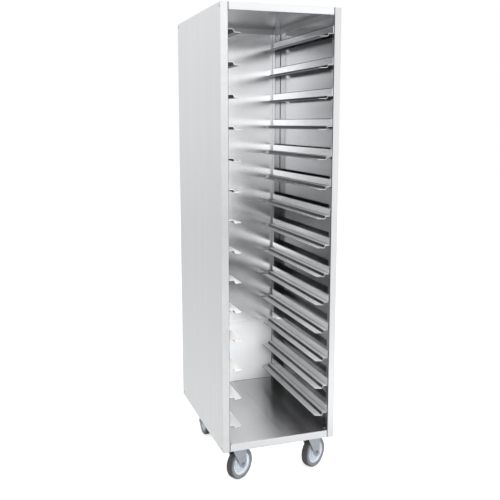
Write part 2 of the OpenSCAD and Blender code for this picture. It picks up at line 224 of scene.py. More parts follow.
def makeStainless(name, grain, colourCode, roughness, anisotropy, metal=1.0, haze=None, paintedFootShade=None):
    look = stainlessSheet
    material, tree = newMaterial(name)
    place = addNode(tree, "TexCoord")
    noises = {}
    for pattern in ("groove", "band", "wave"):
        size = look[pattern]
        scale = [1 / (size["acrossMm"] * mm)] * 3
        scale["XYZ".index(grain)] = 1 / (size["alongMm"] * mm)
        laid = addNode(tree, "Mapping", {"Vector": (place, "Object"), "Scale": scale})
        noises[pattern] = addNode(tree, "TexNoise", {
            "Vector": (laid, 0), "Scale": 1.0, "Detail": size["detail"]})
    both = addNode(tree, "Math", {0: (noises["groove"], "Fac"), 1: (noises["band"], "Fac")}, operation="ADD")
    faint, strong = look["streakRange"]
    tint = addNode(tree, "MapRange", {"Value": (both, 0), "From Min": faint, "From Max": strong})
    clean = hexColour(colourCode)
    streak = tuple(c * look["streakShade"] for c in clean[:3]) + (1.0,)
    colour = addNode(tree, "Mix", {"Factor": (tint, 0), "A": streak, "B": clean}, data_type="RGBA")
    # painted shade: the colour is darkened towards the foot
    if paintedFootShade:
        split = addNode(tree, "SeparateXYZ", {"Vector": (place, "Object")})
        share = addNode(tree, "MapRange", {
            "Value": (split, "Z"), "From Min": paintedFootShade["highMm"] * mm, "From Max": paintedFootShade["lowMm"] * mm,
            "To Min": 1.0, "To Max": paintedFootShade["lowShare"]})
        colour = addNode(tree, "Mix", {
            "Factor": 1.0, "A": (colour, "Result"), "B": (share, 0)}, data_type="RGBA", blend_type="MULTIPLY")
    rough = addNode(tree, "MapRange", {
        "Value": (both, 0), "From Min": faint, "From Max": strong,
        "To Min": roughness + look["roughSpread"], "To Max": roughness - look["roughSpread"]})
    sheet = addNode(tree, "Bump", {
        "Height": (noises["wave"], "Fac"), "Strength": 1.0, "Distance": look["waveDepthMm"] * mm})
    bump = addNode(tree, "Bump", {
        "Height": (noises["groove"], "Fac"), "Strength": look["grooveBump"],
        "Distance": look["grooveDepthMm"] * mm, "Normal": (sheet, 0)})
    along = addNode(tree, "Tangent", direction_type="RADIAL", axis=grain)
    if haze:
        split = addNode(tree, "SeparateXYZ", {"Vector": (place, "Object")})
        metal = (addNode(tree, "MapRange", {
            "Value": (split, haze["axis"]), "From Min": haze["clearMm"] * mm, "From Max": haze["hazyMm"] * mm,
            "To Min": metal, "To Max": haze["metal"]}, interpolation_type="SMOOTHSTEP"), 0)
    steel = addNode(tree, "BsdfPrincipled", {
        "Base Color": (colour, "Result"), "Metallic": metal, "Roughness": (rough, 0),
        "Anisotropic": anisotropy, "Normal": (bump, 0), "Tangent": (along, 0)})
    addNode(tree, "OutputMaterial", {"Surface": (steel, 0)})
    return material


outerSheet = makeStainless("satinStainlessOutside", "Z", "#d9dadb", roughness=0.48, anisotropy=0.2)
# the front gets painted shade towards the foot
frontSheet = makeStainless("satinStainlessFrontPaintedShade", "X", "#f5f6f7", roughness=0.6, anisotropy=0.2,
                           paintedFootShade={"highMm": 1700, "lowMm": 1000, "lowShare": 0.77})
lipSheet = makeStainless("satinStainlessLip", "X", "#e1e2e3", roughness=0.6, anisotropy=0.2)
# the mill finish inside gets painted shade towards the foot
innerSheet = makeStainless("millStainlessInsidePaintedShade", "Z", "#cfd0d2", roughness=0.14, anisotropy=0.3,
                           paintedFootShade={"highMm": 1400, "lowMm": 820, "lowShare": 0.27})
leftInnerSheet = makeStainless("dulledStainlessLeftInside", "Z", "#eeeff0", roughness=0.3, anisotropy=0.3,
                               metal=0.45)
backSheet = makeStainless("brushedStainlessBack", "Z", "#f4f5f6", roughness=0.22, anisotropy=0.8,
                          haze={"axis": "Z", "clearMm": 560, "hazyMm": 340, "metal": 0.25})
trayFloorSheet = makeStainless("brushedStainlessFloor", "X", "#f6f7f8", roughness=0.2, anisotropy=0.9,
                               metal=0.95, haze={"axis": "X", "clearMm": 120, "hazyMm": -140, "metal": 0.2})
ceilingSheet = makeStainless("brushedStainlessCeiling", "X", "#d6d7d9", roughness=0.22, anisotropy=0.6)
# the rails' faces wear as the trays slide: tops and supports dull. The slopes, the tips and the undersides
# are painted darker as shade
railSheet = makeStainless("brushedStainlessRail", "Y", "#fbfcfd", roughness=0.12, anisotropy=0.5)
railTopSheet = makeStainless("wornStainlessRailTop", "Y", "#fafbfc", roughness=0.5, anisotropy=0.2,
                             metal=0.55)
supportSheet = makeStainless("wornStainlessSupport", "Y", "#ffffff", roughness=0.5, anisotropy=0.2, metal=0.4)
# painted shade: dark copies of the rail steel for the undersides, the slopes and the tips
paintedUnderShadeSheet = makeStainless("paintedShadeUnderside", "Y", "#8f9092", roughness=0.34, anisotropy=0.5)
paintedShadeSheet = makeStainless("paintedShadeStainless", "Y", "#434445", roughness=0.34, anisotropy=0.5)
leftRailSheet = makeStainless("dulledStainlessLeftRail", "Y", "#fafbfc", roughness=0.3, anisotropy=0.3,
                              metal=0.45)
leftTopSheet = makeStainless("wornStainlessLeftTop", "Y", "#ffffff", roughness=0.5, anisotropy=0.2, metal=0.1)
rivetSteel = makeStainless("dulledRivetSteel", "Z", "#77797b", roughness=0.5, anisotropy=0.1)

# how much a face has to look a way to be dressed for it, as the share of its normal along that way
slightly, partly, mostly, squarely = 0.2, 0.3, 0.5, 0.9
# how far from the middle the slope of a right rail begins and its support's tip ends, and the
# upward share of the slope's normal
rightRail = {"slopeMm": 181, "tipMm": 161, "slopeUp": (0.15, 0.85)}
slopeX, tipX = rightRail["slopeMm"] * mm, rightRail["tipMm"] * mm
leastUp, mostUp = rightRail["slopeUp"]
for name, node in nodes.items():
    if "rail_" in name:
        dress(node, railSheet)
        if name.startswith("left"):
            dressFaces(node, leftRailSheet, lambda at, way: way.x > mostly)
            dressFaces(node, leftTopSheet, lambda at, way: way.z > partly)
            # painted shade under the left rails
            dressFaces(node, paintedShadeSheet, lambda at, way: way.z < -partly)
        else:
            # the slope between ledge and support and the tip of the support get painted shade, the undersides
            # a paler painted shade, and the rest is worn
            dressFaces(node, railTopSheet, lambda at, way: way.z > partly)
            dressFaces(node, supportSheet, lambda at, way: way.z > squarely and at.x < slopeX)
            dressFaces(node, paintedShadeSheet, lambda at, way: way.x < -partly and leastUp < way.z < mostUp)
            dressFaces(node, paintedShadeSheet, lambda at, way: way.x < -squarely and at.x < tipX)
            dressFaces(node, paintedUnderShadeSheet, lambda at, way: way.z < -partly)
    elif name.endswith("post"):
        dress(node, innerSheet)
    elif name == "back_panel":
        dress(node, outerSheet)
        dressFaces(node, backSheet, lambda at, way: way.y < -mostly)
    elif name == "roof_panel":
        dress(node, frontSheet)
        dressFaces(node, ceilingSheet, lambda at, way: way.z < -mostly)
    elif name == "floor_panel":
        dress(node, lipSheet)
        dressFaces(node, trayFloorSheet, lambda at, way: way.z > mostly)
    elif name.endswith("channel"):
        dress(node, frontSheet)
    else:
        dress(node, outerSheet)
for name, inward, finish in (("left_side_panel", 1, leftInnerSheet), ("right_side_panel", -1, innerSheet)):
    dressFaces(nodes[name], finish, lambda at, way: way.x * inward > mostly)
    if inward > 0:
        dressFaces(nodes[name], frontSheet, lambda at, way: way.y < -mostly)
    # the stile's rounded inner fold is painted dark: a painted reflection of the dark inside
    dressFaces(nodes[name], paintedShadeSheet, lambda at, way: way.x * inward > slightly and way.y < -slightly)
print("sheet dressed")

# zinc-plated steel, barrel plated and passivated: a cool silver, slightly cloudy satin. The real
# crystals are far under 0.1 mm; the grain is drawn as coarse as it needs to show
zincPlating = {
    "colour": "#b2b7be", "cloud": "#9aa0a9", "roughness": 0.30, "roughSpread": 0.07,
    "cloudMm": 9, "grainMm": 0.7, "grainDepthMm": 0.05, "grainBump": 0.12,
}


def makeZinc(name):
    look = zincPlating
    material, tree = newMaterial(name)
    place = addNode(tree, "TexCoord")
    clouds = addNode(tree, "TexNoise", {
        "Vector": (place, "Object"), "Scale": 1 / (look["cloudMm"] * mm), "Detail": 3.0})
    grain = addNode(tree, "TexNoise", {
        "Vector": (place, "Object"), "Scale": 1 / (look["grainMm"] * mm), "Detail": 1.0})
    colour = addNode(tree, "Mix", {
        "Factor": (clouds, "Fac"), "A": hexColour(look["cloud"]), "B": hexColour(look["colour"])},
        data_type="RGBA")
    rough = addNode(tree, "MapRange", {
        "Value": (clouds, "Fac"), "To Min": look["roughness"] - look["roughSpread"],
        "To Max": look["roughness"] + look["roughSpread"]})
    bump = addNode(tree, "Bump", {
        "Height": (grain, "Fac"), "Strength": look["grainBump"], "Distance": look["grainDepthMm"] * mm})
    steel = addNode(tree, "BsdfPrincipled", {
        "Base Color": (colour, "Result"), "Metallic": 1.0, "Roughness": (rough, 0), "Normal": (bump, 0)})
    addNode(tree, "OutputMaterial", {"Surface": (steel, 0)})
    return material


def axisDistance(tree, place):
    # how far a point is from a turned piece's own axis, its local Z
    parts = addNode(tree, "SeparateXYZ", {0: (place, "Object")})
    level = addNode(tree, "CombineXYZ", {0: (parts, 0), 1: (parts, 1)})
    return addNode(tree, "VectorMath", {0: (level, 0)}, operation="LENGTH")


# injection-moulded polypropylene: a cold white, satin, with the faintest mould texture, which is
# drawn coarser than the real 0.1 mm so that it shows. Thin grey circles beside the moulded rings and
# along the tyre are painted shade
wheelPlastic = {
    "colour": "#dfe6ee", "shade": "#d3dbe4", "roughness": 0.38, "roughSpread": 0.04, "ior": 1.49,
    "mottleMm": 14, "textureMm": 0.8, "textureDepthMm": 0.04, "textureBump": 0.1,
    "dirt": "#a0a9b5", "paintedRingShadeMm": (24, 32, 45), "paintedRingShadeHalfMm": 1.3,
}


def makeWheelPlastic(name):
    look = wheelPlastic
    material, tree = newMaterial(name)
    place = addNode(tree, "TexCoord")
    mottle = addNode(tree, "TexNoise", {
        "Vector": (place, "Object"), "Scale": 1 / (look["mottleMm"] * mm), "Detail": 2.0})
    texture = addNode(tree, "TexNoise", {
        "Vector": (place, "Object"), "Scale": 1 / (look["textureMm"] * mm), "Detail": 1.0})
    colour = addNode(tree, "Mix", {
        "Factor": (mottle, "Fac"), "A": hexColour(look["shade"]), "B": hexColour(look["colour"])},
        data_type="RGBA")
    reach = axisDistance(tree, place)
    # painted shade: thin grey circles at the moulded rings and where the tyre meets the rim
    for ring in look["paintedRingShadeMm"]:
        inRing = addNode(tree, "Math", {
            0: (reach, "Value"), 1: ring * mm, 2: look["paintedRingShadeHalfMm"] * mm}, operation="COMPARE")
        colour = addNode(tree, "Mix", {
            "Factor": (inRing, 0), "A": (colour, "Result"), "B": hexColour(look["dirt"])}, data_type="RGBA")
    rough = addNode(tree, "MapRange", {
        "Value": (mottle, "Fac"), "To Min": look["roughness"] - look["roughSpread"],
        "To Max": look["roughness"] + look["roughSpread"]})
    bump = addNode(tree, "Bump", {
        "Height": (texture, "Fac"), "Strength": look["textureBump"], "Distance": look["textureDepthMm"] * mm})
    plastic = addNode(tree, "BsdfPrincipled", {
        "Base Color": (colour, "Result"), "Roughness": (rough, 0), "IOR": look["ior"], "Normal": (bump, 0)})
    addNode(tree, "OutputMaterial", {"Surface": (plastic, 0)})
    return material


# thermoplastic rubber, moulded: even grey and matt on the side walls; the shoulder and the tread are
# painted darker as shade, and the tread is scuffed where it has rolled. Its pebble texture is drawn coarser
# than the real 0.2 mm so that it shows
tyreRubber = {
    # the shoulder and tread colours are darker than the side as painted shade
    "side": "#87888d", "shoulder": "#5c5d61", "tread": "#3c3d40", "scuff": "#4b4c4f",
    "shoulderR": 57.0, "shoulderBlend": 2, "treadR": 60.5, "treadBlend": 1,
    "roughness": 0.58, "roughUnder": 0.08, "roughOver": 0.12, "ior": 1.52,
    "scuffMm": 5, "pebbleMm": 0.9, "pebbleDepthMm": 0.06, "pebbleBump": 0.2,
}


def makeRubber(name):
    look = tyreRubber
    material, tree = newMaterial(name)
    place = addNode(tree, "TexCoord")
    reach = axisDistance(tree, place)
    scuffs = addNode(tree, "TexNoise", {
        "Vector": (place, "Object"), "Scale": 1 / (look["scuffMm"] * mm), "Detail": 4.0})
    pebbles = addNode(tree, "TexNoise", {
        "Vector": (place, "Object"), "Scale": 1 / (look["pebbleMm"] * mm), "Detail": 1.0})
    toShoulder = addNode(tree, "MapRange", {
        "Value": (reach, "Value"), "From Min": (look["shoulderR"] - look["shoulderBlend"]) * mm,
        "From Max": look["shoulderR"] * mm})
    toTread = addNode(tree, "MapRange", {
        "Value": (reach, "Value"), "From Min": (look["treadR"] - look["treadBlend"]) * mm,
        "From Max": look["treadR"] * mm})
    tread = addNode(tree, "Mix", {
        "Factor": (scuffs, "Fac"), "A": hexColour(look["tread"]), "B": hexColour(look["scuff"])},
        data_type="RGBA")
    side = addNode(tree, "Mix", {
        "Factor": (toShoulder, 0), "A": hexColour(look["side"]), "B": hexColour(look["shoulder"])},
        data_type="RGBA")
    # painted shade: the shoulder and the tread darker than the side
    colour = addNode(tree, "Mix", {
        "Factor": (toTread, 0), "A": (side, "Result"), "B": (tread, "Result")}, data_type="RGBA")
    rough = addNode(tree, "MapRange", {
        "Value": (scuffs, "Fac"), "To Min": look["roughness"] - look["roughUnder"],
        "To Max": look["roughness"] + look["roughOver"]})
    bump = addNode(tree, "Bump", {
        "Height": (pebbles, "Fac"), "Strength": look["pebbleBump"], "Distance": look["pebbleDepthMm"] * mm})
    rubber = addNode(tree, "BsdfPrincipled", {
        "Base Color": (colour, "Result"), "Roughness": (rough, 0), "IOR": look["ior"], "Normal": (bump, 0)})
    addNode(tree, "OutputMaterial", {"Surface": (rubber, 0)})
    return material


zinc = makeZinc("zincPlatedSteel")
whitePlastic = makeWheelPlastic("mouldedWhitePolypropylene")
greyRubber = makeRubber("mouldedGreyRubber")
print("plating, plastic and rubber ready")

# tyre: a rounded tread with two fine grooves, a round shoulder and a raised ring on each side
tyre = {
    "radius": 62.5, "halfWidth": 15, "seatR": 46, "seatHalf": 13, "sides": 128,
    "beadSteps": ((1.5, 0.9), (3, 0.4)),   # each goes out from the seat and in from the side
    "ringR": 53, "ringHalf": 1.4, "ringFootShare": 1.6, "ringHigh": 0.9,
    "shoulderR": 6, "shoulderDeg": (80, 12), "shoulderSteps": 9,
    "crownDrops": (0.6, 0.25, 0.1),        # at the shoulder and at the groove's outer and inner lip
    "grooveAt": 5.4, "grooveHalf": 0.8, "grooveDeep": 1.0, "grooveFloorShare": 0.5, "flatShare": 0.4,
}


def tyreMesh():
    t = tyre
    radius, side, groove, edge = t["radius"], t["halfWidth"], t["grooveAt"], t["grooveHalf"]
    bottom, floorHalf = radius - t["grooveDeep"], edge * t["grooveFloorShare"]
    low, foot = side - t["ringHigh"], t["ringHalf"] * t["ringFootShare"]
    atShoulder, atOuterLip, atInnerLip = t["crownDrops"]
    shoulder = (radius - t["shoulderR"] - atShoulder, side - t["shoulderR"])
    half = [(t["seatR"], t["seatHalf"])] + [(t["seatR"] + out, side - back) for out, back in t["beadSteps"]]
    half += [(t["ringR"] - foot, low), (t["ringR"] - t["ringHalf"], side)]
    half += [(t["ringR"] + t["ringHalf"], side), (t["ringR"] + foot, low)]
    turn = arcPoints(shoulder, t["shoulderR"], *t["shoulderDeg"], t["shoulderSteps"])
    half += [(r, min(h, low)) for r, h in turn]
    half += [(radius - atOuterLip, groove + edge), (bottom, groove + floorHalf)]
    half += [(bottom, groove - floorHalf), (radius - atInnerLip, groove - edge)]
    half += [(radius, groove * t["flatShare"])]
    bm = bmesh.new()
    lathe(bm, half + [(r, -h) for r, h in reversed(half)], t["sides"], closed=True)
    return meshFrom(bm, "tyre", sharpDeg=30)


# wheel centre: a dished web between the hub and the rim, with the rings that the mould leaves
wheelCentre = {
    "boreR": 5.05, "boreChamfer": (0.8, 0.6), "hubR": 15, "hubHalf": 20, "hubRound": 1.5,
    "hubFillet": 2.6, "hubFilletDeg": (180, 262), "rimR": 46, "rimHalf": 13, "rimChamfer": (0.6, 0.5),
    "ledgeR": 41.5, "ledgeBack": 4.5, "ledgeFillet": 4.2, "ledgeFilletDeg": (275, 350),
    "ledgeSteps": ((0.3, 0.7), (1, 0)),    # each goes out from the ledge and in from the rim's side
    "webHubHalf": 9.5, "webRimHalf": 7.5, "webAfterHub": 3, "webBeforeLedge": 4,
    "ringsAt": (24, 32), "ringHalf": 0.5, "ringFoot": 1.1, "ringHigh": 1.0, "sides": 96, "steps": 6,
}


def wheelCentreMesh():
    w = wheelCentre
    hubR, hubHalf, ledgeR, rimHalf = w["hubR"], w["hubHalf"], w["ledgeR"], w["rimHalf"]
    boreOut, boreIn = w["boreChamfer"]
    rimBack, rimIn = w["rimChamfer"]
    turn, hollow = w["hubRound"], w["hubFillet"]
    half = [(w["boreR"], hubHalf - boreIn), (w["boreR"] + boreOut, hubHalf)]
    half += arcPoints((hubR - turn, hubHalf - turn), turn, 90, 0, 5)
    half += arcPoints((hubR + hollow, w["webHubHalf"] + hollow), hollow, *w["hubFilletDeg"], w["steps"])

    def web(r):
        # half the web's thickness, which thins from the hub to the rim
        begin, end = w["webAfterHub"], w["webBeforeLedge"]
        share = (r - hubR - begin) / (ledgeR - end - hubR - begin)
        return w["webHubHalf"] + (w["webRimHalf"] - w["webHubHalf"]) * share

    for r in w["ringsAt"]:
        top, inner, outer = web(r) + w["ringHigh"], r - w["ringFoot"], r + w["ringFoot"]
        half += [(inner, web(inner)), (r - w["ringHalf"], top), (r + w["ringHalf"], top), (outer, web(outer))]
    dish = w["ledgeFillet"]
    middle = (ledgeR - w["ledgeBack"], w["webRimHalf"] + dish)
    half += arcPoints(middle, dish, *w["ledgeFilletDeg"], w["steps"])
    half += [(ledgeR + out, rimHalf - back) for out, back in w["ledgeSteps"]]
    half += [(w["rimR"] - rimBack, rimHalf), (w["rimR"], rimHalf - rimIn)]
    bm = bmesh.new()
    lathe(bm, half + [(r, -h) for r, h in reversed(half)], w["sides"], closed=True)
    return meshFrom(bm, "wheelCentre", sharpDeg=30)


# fork: one strip of steel pressed to a U, wide at the crown and narrowing to the axle, with its
# leading edges bent in and a round boss pressed out at the axle; the lower ball race sits on top
fork = {
    "sheet": 2.5, "legOut": 22.8, "foldR": 4.25, "top": 135.5, "front": -28, "rear": 35, "shoulderDrop": 10.5,
    "axleX": 20, "axleZ": 62.5, "endR": 15, "endShare": 0.9995, "endDegs": range(4, 90, 8),
    "columns": 26, "rows": 30, "foldFromDeg": 12, "foldSteps": 7, "crownSteps": 8,
    "creaseX": 1, "creaseDeg": 11, "creaseSoft": 1.5, "bossR": 10.5, "bossRim": 2, "bossHigh": 0.9,
    "edgeBevel": 0.55, "bevelDeg": 50, "pinR": 6.05, "pinGap": 0.5,
    "raceR": 23, "raceHigh": 4, "raceRound": 1.6, "raceBoreDrop": 0.6, "raceDipAt": 5, "raceDipR": 2.2,
    "raceDipDeg": (120, 70), "raceSides": 72,
}


def forkMesh():
    f = fork
    axleX, axleZ, endR, leading = f["axleX"], f["axleZ"], f["endR"], f["front"]
    legY, crownZ = f["legOut"] - f["sheet"] / 2, f["top"] - f["sheet"] / 2
    foldZ, foldY = crownZ - f["foldR"], legY - f["foldR"]
    shoulderZ = f["top"] - f["shoulderDrop"]
    away = Vector((leading - axleX, shoulderZ - axleZ))
    touch = math.atan2(away.y, away.x) + math.acos(endR / away.length)
    touchX, touchZ = axleX + endR * math.cos(touch), axleZ + endR * math.sin(touch)
    slope, soft = math.tan(math.radians(f["creaseDeg"])), f["creaseSoft"]
    largest = 30    # keeps the exponential of the crease in range
    onWall = 0.99   # the share of the half width beyond which a point is on the leg and not on its fold

    def span(z):
        # leading and trailing edge of the leg at a height
        drop = max(axleZ - z, 0)
        half = math.sqrt(max(endR ** 2 - drop ** 2, 0))
        rear = axleX + half if drop else f["rear"]
        if z >= shoulderZ:
            return leading, rear
        if z >= touchZ:
            return leading + (touchX - leading) * (shoulderZ - z) / (shoulderZ - touchZ), rear
        return axleX - half, rear

    rounds = [axleZ - endR * math.cos(math.radians(a)) for a in f["endDegs"]]
    rises = [axleZ + (foldZ - axleZ) * k / f["rows"] for k in range(f["rows"] + 1)]
    leg = [(legY, z) for z in [axleZ - endR * f["endShare"]] + rounds + rises]
    fold = arcPoints((foldY, foldZ), f["foldR"], f["foldFromDeg"], 90, f["foldSteps"])
    crown = [(foldY * (1 - k / f["crownSteps"]), crownZ) for k in range(1, f["crownSteps"])]
    oneSide = leg + fold + crown
    path = oneSide + [(0, crownZ)] + [(-y, z) for y, z in reversed(oneSide)]
    bm = bmesh.new()
    rows = []
    for y, z in path:
        front, rear = span(z)
        side = y / legY
        row = []
        for k in range(f["columns"] + 1):
            x = front + (rear - front) * k / f["columns"]
            ahead = f["creaseX"] - x
            bend = slope * soft * math.log1p(math.exp(min(ahead / soft, largest)))
            near = math.hypot(x - axleX, z - axleZ)
            boss = f["bossHigh"] * min(max((f["bossR"] + f["bossRim"] - near) / f["bossRim"], 0), 1)
            out = y - side * bend + side * boss * (abs(side) > onWall)
            row.append(bm.verts.new((x * mm, out * mm, z * mm)))
        rows.append(row)
    for a, b in zip(rows, rows[1:]):
        for k in range(f["columns"]):
            bm.faces.new([a[k], a[k + 1], b[k + 1], b[k]])
    strip = toScene("fork", meshFrom(bm, "fork", sharpDeg=45))
    thick = strip.modifiers.new("sheet", "SOLIDIFY")
    thick.thickness, thick.offset, thick.use_even_offset = f["sheet"] * mm, 0, True
    edges = strip.modifiers.new("edges", "BEVEL")
    edges.width, edges.segments, edges.limit_method = f["edgeBevel"] * mm, 3, "ANGLE"
    edges.angle_limit = math.radians(f["bevelDeg"])
    bm = bmesh.new()
    bm.from_mesh(finishedMesh(strip))
    bore, high, turn, dip = f["pinR"] + f["pinGap"], f["raceHigh"], f["raceRound"], f["raceDipR"]
    race = [(bore, 0), (bore, high - f["raceBoreDrop"])]
    race += arcPoints((f["raceR"] - f["raceDipAt"], high - dip), dip, *f["raceDipDeg"], 4)
    race += arcPoints((f["raceR"] - turn, high - turn), turn, 90, 0, 5) + [(f["raceR"], 0)]
    lathe(bm, race, f["raceSides"], closed=True, place=(0, 0, f["top"]))
    return meshFrom(bm, "fork", sharpDeg=40)


# axle: a hex bolt with a washer under its head, and a locking nut with a plastic collar
axleBolt = {
    "diameter": 10, "flats": 16, "headHigh": 6.4, "nutHigh": 6.0, "legOut": 22.8, "tip": 1.5, "pitch": 1.5,
    "washerR": 9.2, "washerHigh": 1.2, "washerFoot": 0.4, "washerEdge": 0.3,
    "collarHigh": 2.0, "collarGap": 0.1, "collarIn": (1, 1.2, 1.8), "collarEdge": 0.5,
    "shankFrom": 1, "shankTo": 2, "sides": 48, "threadSides": 36,
}


def axleMesh():
    a = axleBolt
    bm = bmesh.new()
    out, r, washer, thick = a["legOut"], a["diameter"] / 2, a["washerR"], a["washerHigh"]
    foot, edge = a["washerFoot"], a["washerEdge"]
    for side in (1, -1):
        ring = [(r, 0), (washer - foot, 0), (washer, foot)]
        ring += [(washer, thick - edge), (washer - edge, thick), (r, thick)]
        lathe(bm, [(reach, side * h) for reach, h in ring], a["sides"], closed=True, place=(0, 0, side * out))
    hexHead(bm, a["flats"], a["headHigh"] - thick, place=(0, 0, out + thick))
    hexHead(bm, a["flats"], a["nutHigh"] - thick, place=(0, 0, -out - thick), up=-1, bore=a["diameter"])
    low, middle, top = [a["flats"] / 2 - into for into in a["collarIn"]]
    high, inner = a["collarHigh"], r + a["collarGap"]
    collar = [(inner, 0), (low, 0), (middle, high - a["collarEdge"]), (top, high), (inner, high)]
    collarZ = -out - a["nutHigh"] + a["collarGap"]
    lathe(bm, [(reach, -h) for reach, h in collar], a["sides"], closed=True, place=(0, 0, collarZ))
    start, stop = out + a["shankFrom"], -out + a["shankTo"]
    lathe(bm, [(0, start), (r, start), (r, stop), (0, stop)], a["sides"])
    end = -out - a["nutHigh"] - high - a["tip"]
    thread(bm, a["diameter"], a["pitch"], end, stop, a["threadSides"])
    return meshFrom(bm, "axleBolt", sharpDeg=30)


# mounting plate: a stamped plate with rounded corners and four holes, and the upper ball race
plate = {
    "length": 100, "width": 85, "thick": 3, "cornerR": 8, "low": 147, "edge": 0.4, "pinR": 6.05,
    "holeR": 4.5, "boltX": 80, "boltY": 60, "boreStepDeg": 15, "cornerSteps": 8,
    "raceR": 21, "raceLow": 139.8, "raceInDrop": 0.6, "raceDipAt": 6, "raceFoot": 1, "raceSides": 72,
    "raceRound": 2, "raceRoundDeg": (250, 360), "raceFillet": 1.2, "raceFilletDeg": (180, 100),
}


def roundedLoop(halfX, halfY, radius):
    points = []
    for cornerX, cornerY, start in ((1, 1, 0), (-1, 1, 90), (-1, -1, 180), (1, -1, 270)):
        middle = (cornerX * (halfX - radius), cornerY * (halfY - radius))
        points += arcPoints(middle, radius, start, start + 90, plate["cornerSteps"])
    return points


def plateMesh():
    p = plate
    curve = bpy.data.curves.new("plate", "CURVE")
    curve.dimensions = "2D"
    curve.fill_mode = "BOTH"
    curve.extrude = (p["thick"] / 2 - p["edge"]) * mm
    curve.bevel_depth = p["edge"] * mm
    curve.bevel_resolution = 2
    curve.offset = -p["edge"] * mm
    bores = [(x * p["boltX"] / 2, y * p["boltY"] / 2, p["holeR"]) for x in (-1, 1) for y in (-1, 1)]
    bores.append((0, 0, p["pinR"]))
    lastDeg = 360 - p["boreStepDeg"]
    loops = [roundedLoop(p["length"] / 2, p["width"] / 2, p["cornerR"])]
    loops += [arcPoints((x, y), r, 0, lastDeg, lastDeg // p["boreStepDeg"]) for x, y, r in bores]
    for loop in loops:
        spline = curve.splines.new("POLY")
        spline.points.add(len(loop) - 1)
        for point, (x, y) in zip(spline.points, loop):
            point.co = (x * mm, y * mm, 0, 1)
        spline.use_cyclic_u = True
    bm = bmesh.new()
    bm.from_mesh(finishedMesh(toScene("plate", curve)))
    bmesh.ops.translate(bm, verts=bm.verts, vec=(0, 0, (p["low"] + p["thick"] / 2) * mm))
    high, low = p["low"] - p["raceLow"], p["raceInDrop"]
    turn, fillet = p["raceRound"], p["raceFillet"]
    race = [(p["pinR"], high), (p["pinR"], low), (p["raceR"] - p["raceDipAt"], low)]
    race += arcPoints((p["raceR"] - turn, turn), turn, *p["raceRoundDeg"], 7)
    race += arcPoints((p["raceR"] + fillet, high - fillet), fillet, *p["raceFilletDeg"], 4)
    race += [(p["raceR"] + p["raceFoot"], high)]
    lathe(bm, race, p["raceSides"], closed=True, place=(0, 0, p["raceLow"]))
    return meshFrom(bm, "plate", sharpDeg=35)


# caster bolts: hex heads with washers below each plate, nuts on top inside the channel
casterBolt = {
    "diameter": 8, "flats": 13, "headHigh": 5.3, "nutHigh": 6.5, "plateLow": 147, "channelTop": 152,
    "washerR": 8, "washerHigh": 1.0, "washerEdge": 0.3, "shankInHead": 1, "tip": 1.5, "pitch": 1.25,
    "washerSides": 32, "shankSides": 24,
}


def casterBoltsMesh(places):
    b = casterBolt
    low, high, r, thick = b["plateLow"], b["channelTop"], b["diameter"] / 2, b["washerHigh"]
    edge = b["washerEdge"]
    washer = [(r, 0), (b["washerR"] - edge, 0), (b["washerR"], -edge), (b["washerR"], -thick), (r, -thick)]
    start, tip = low - b["shankInHead"], high + b["nutHigh"] + b["tip"]
    bm = bmesh.new()
    for x, y in places:
        lathe(bm, washer, b["washerSides"], closed=True, place=(x, y, low))
        hexHead(bm, b["flats"], b["headHigh"] - thick, place=(x, y, low - thick), up=-1)
        hexHead(bm, b["flats"], b["nutHigh"], place=(x, y, high), bore=b["diameter"])
        lathe(bm, [(0, start), (r, start), (r, high), (0, high)], b["shankSides"], place=(x, y, 0))
        thread(bm, b["diameter"], b["pitch"], high, tip, b["shankSides"], place=(x, y, 0))
    return meshFrom(bm, "casterBolts", sharpDeg=30)


# king pins: a domed head below the crown, a shank through both races, riveted over in the plate
kingPin = {
    "radius": 6, "headR": 10, "headHigh": 3, "headFlat": 3, "headRound": 2.4, "headEdge": 0.6,
    "headTop": 132.7, "rivetR": 9, "rivetHigh": 1.5, "rivetEdge": 0.2, "top": 150, "sides": 40,
}


def kingPinsMesh(places):
    k = kingPin
    low, turn, rivetZ = k["headTop"] - k["headHigh"], k["headRound"], k["top"] - k["rivetHigh"]
    outline = [(0, low), (k["headR"] - k["headFlat"], low)]
    outline += arcPoints((k["headR"] - turn, k["headTop"] - k["headEdge"]), turn, -90, 0, 5)
    outline += [(k["headR"], k["headTop"]), (k["radius"], k["headTop"]), (k["radius"], rivetZ)]
    outline += [(k["rivetR"], rivetZ), (k["rivetR"], k["top"] - k["rivetEdge"]), (0, k["top"])]
    bm = bmesh.new()
    for x, y in places:
        lathe(bm, outline, k["sides"], place=(x, y, 0))
    return meshFrom(bm, "kingPins", sharpDeg=35)


# corner rivets: domed blind-rivet heads with the broken mandrel sunk in the middle
cornerRivet = {
    "headR": 4, "high": 0.9, "shankR": 2.4, "grip": 2.4, "tailR": 2.88, "tail": 2, "tailEdge": 0.4,
    "pitR": 1.2, "pitDeep": 0.5, "pitLip": 0.25, "sides": 28, "domeSteps": 8,
}


